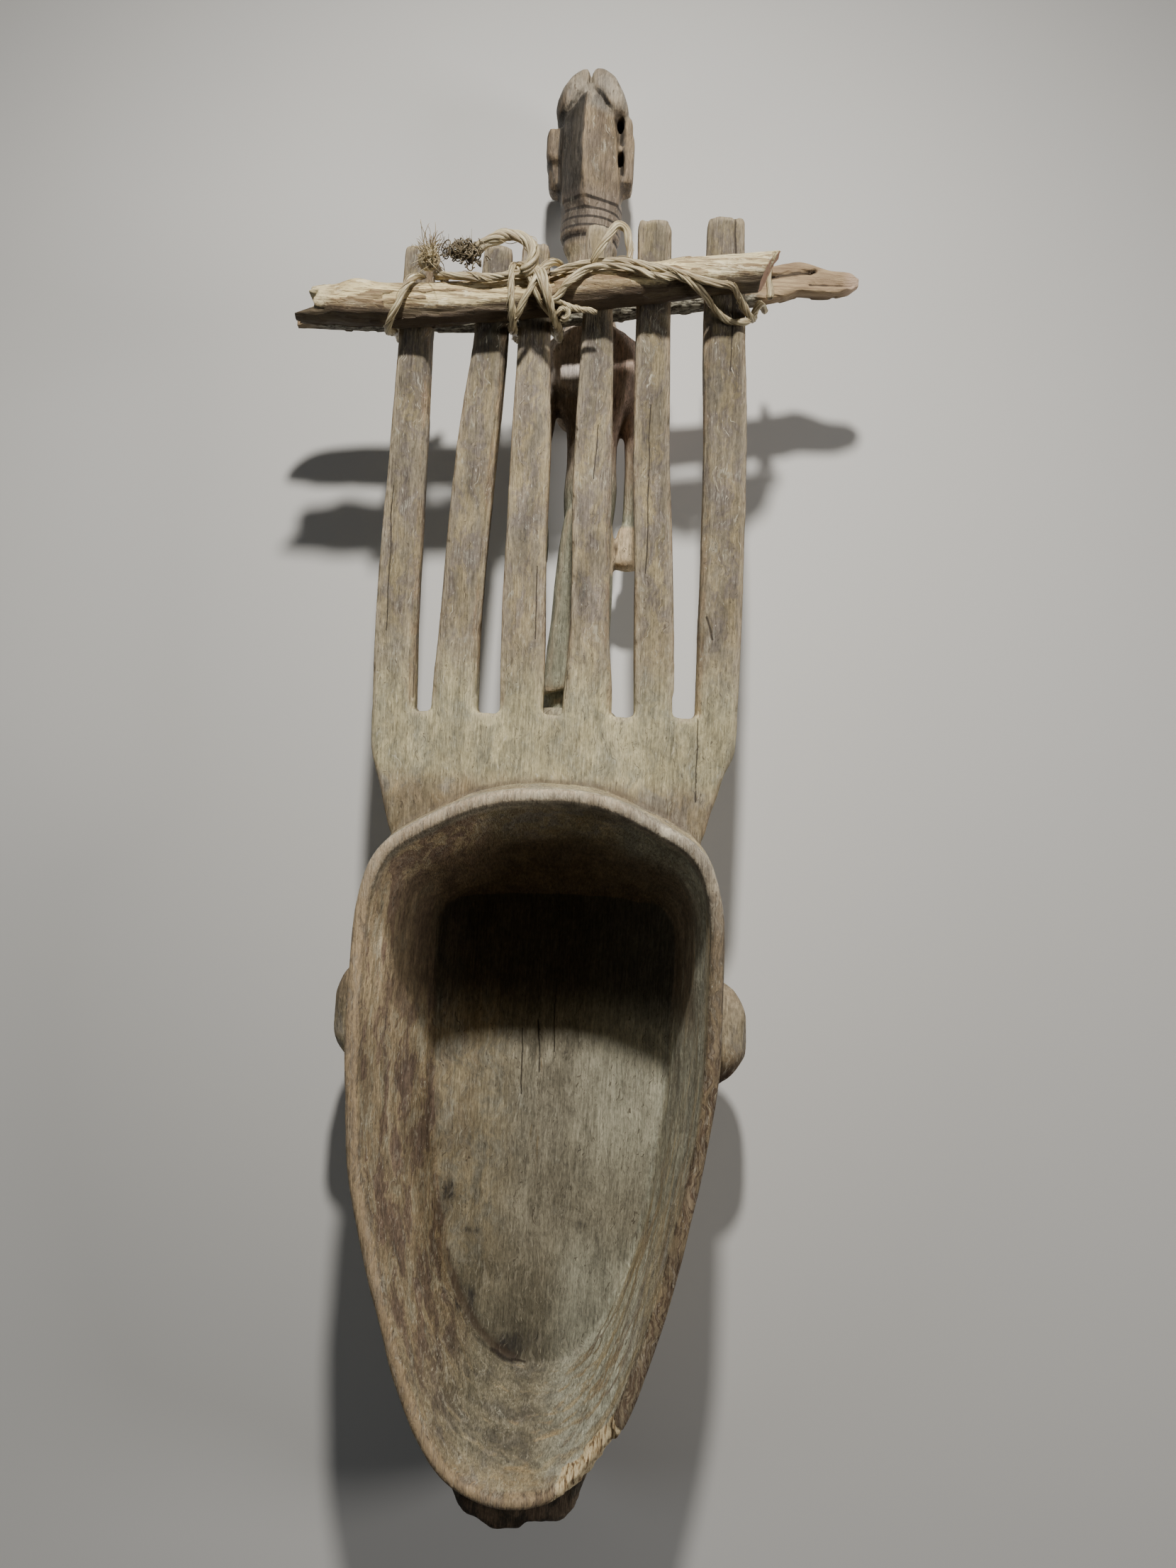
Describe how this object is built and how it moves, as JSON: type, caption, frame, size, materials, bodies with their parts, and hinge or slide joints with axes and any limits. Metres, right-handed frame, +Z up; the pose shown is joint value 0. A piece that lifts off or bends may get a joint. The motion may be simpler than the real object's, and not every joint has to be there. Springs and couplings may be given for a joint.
{
  "type": "ntomo mask",
  "caption": "Carved wooden face mask with a tall comb of prongs, a standing figure before it and two bars lashed across, lying face down with its hollow back up.",
  "frame": {"origin": "on the ground, under the middle of the whole mask's length and width", "axes": "+Y from the chin to the comb, +Z up, out of the hollow back, +X to the right seen from above"},
  "size_m": [0.239, 0.6514, 0.118],
  "materials": {
    "weathered_wood": "dry, worn and stained",
    "peeled_wood": "peeled, with a dull shine",
    "split_wood": "split, with bark along one edge",
    "plant_fibre": "dry twisted bark fibre"
  },
  "bodies": {
    "root": {"carved_mask": "weathered_wood", "front_stick": "peeled_wood", "rear_lath": "split_wood", "lashing": "plant_fibre"}
  },
  "joints": []
}
